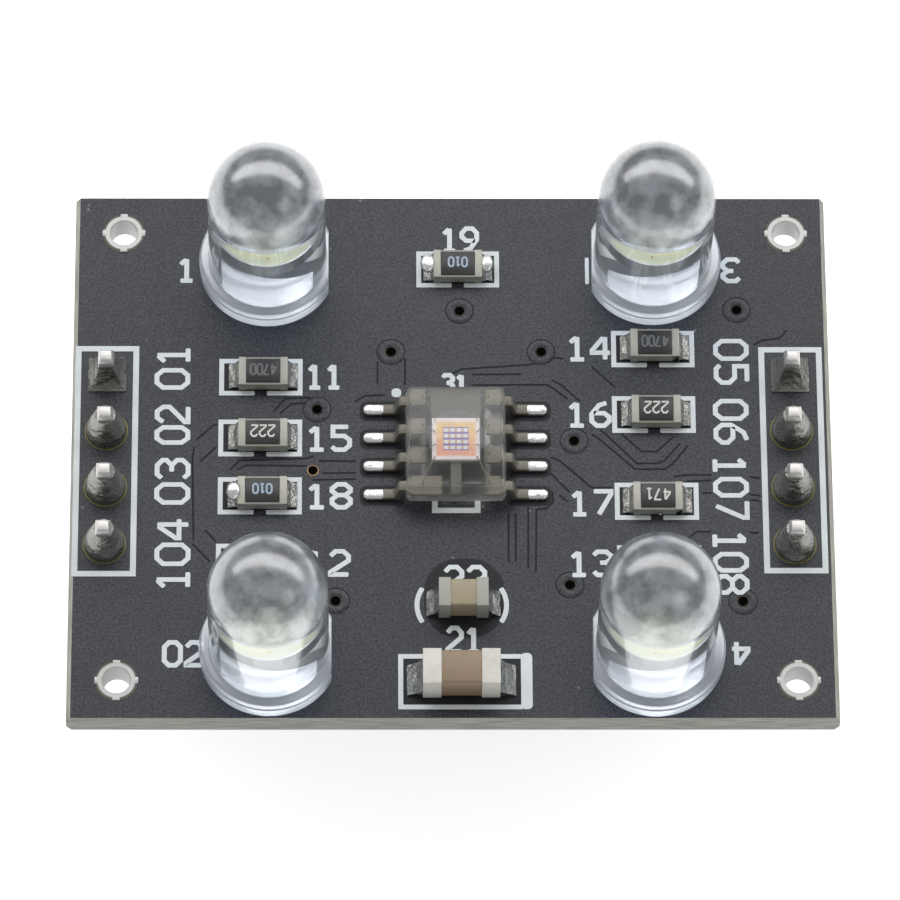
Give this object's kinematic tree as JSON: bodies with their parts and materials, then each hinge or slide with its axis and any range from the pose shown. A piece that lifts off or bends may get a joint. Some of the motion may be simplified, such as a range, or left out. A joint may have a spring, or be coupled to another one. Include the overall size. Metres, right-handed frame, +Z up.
{
  "type": "color sensor module",
  "caption": "Small rectangular circuit board with a clear colour sensing chip in the middle, clear round lamps at the corners and pin headers pointing down.",
  "frame": {"origin": "under the middle of the board, level with the lower ends of the header pins", "axes": "+X along the board's long side, +Y towards the board's back edge, +Z up out of the face that carries the sensor"},
  "size_m": [0.031, 0.0234, 0.018],
  "materials": {
    "board": "dark solder mask over glass fibre laminate",
    "tinned_copper": "tinned copper",
    "solder": "bright uneven solder",
    "pin_metal": "tinned brass",
    "strip_plastic": "matte black moulding",
    "lens": "water clear epoxy",
    "lead_frame": "silver plated strip",
    "phosphor": "yellow phosphor in silicone",
    "lamp_chip": "polished crystal",
    "gold_wire": "drawn gold",
    "sensor_epoxy": "smoky clear epoxy",
    "sensor_die": "patterned silicon",
    "chip_ends": "tinned end caps",
    "resistor_glaze": "black glaze on white ceramic",
    "capacitor_ceramic": "tan fired ceramic"
  },
  "bodies": {
    "root": {"capacitor_1": "capacitor_ceramic", "capacitor_2": "capacitor_ceramic", "capacitor_caps": "chip_ends", "chip_solder": "solder", "circuit_board": "board", "header_pin_1": "pin_metal", "header_pin_2": "pin_metal", "header_pin_3": "pin_metal", "header_pin_4": "pin_metal", "header_pin_5": "pin_metal", "header_pin_6": "pin_metal", "header_pin_7": "pin_metal", "header_pin_8": "pin_metal", "header_solder": "solder", "header_strip_left": "strip_plastic", "header_strip_right": "strip_plastic", "lamp_anode_1": "lead_frame", "lamp_anode_2": "lead_frame", "lamp_anode_3": "lead_frame", "lamp_anode_4": "lead_frame", "lamp_bond_wires": "gold_wire", "lamp_cathode_1": "lead_frame", "lamp_cathode_2": "lead_frame", "lamp_cathode_3": "lead_frame", "lamp_cathode_4": "lead_frame", "lamp_chips": "lamp_chip", "lamp_lens_1": "lens", "lamp_lens_2": "lens", "lamp_lens_3": "lens", "lamp_lens_4": "lens", "lamp_phosphor_1": "phosphor", "lamp_phosphor_2": "phosphor", "lamp_phosphor_3": "phosphor", "lamp_phosphor_4": "phosphor", "lamp_solder": "solder", "mounting_rings": "tinned_copper", "resistor_1": "resistor_glaze", "resistor_2": "resistor_glaze", "resistor_3": "resistor_glaze", "resistor_4": "resistor_glaze", "resistor_5": "resistor_glaze", "resistor_6": "resistor_glaze", "resistor_7": "resistor_glaze", "resistor_8": "resistor_glaze", "resistor_9": "resistor_glaze", "resistor_caps": "chip_ends", "sensor_body": "sensor_epoxy", "sensor_bond_wires": "gold_wire", "sensor_die": "sensor_die", "sensor_lead_1": "lead_frame", "sensor_lead_2": "lead_frame", "sensor_lead_3": "lead_frame", "sensor_lead_4": "lead_frame", "sensor_lead_5": "lead_frame", "sensor_lead_6": "lead_frame", "sensor_lead_7": "lead_frame", "sensor_lead_8": "lead_frame", "sensor_paddle": "lead_frame", "sensor_solder": "solder"}
  },
  "joints": []
}
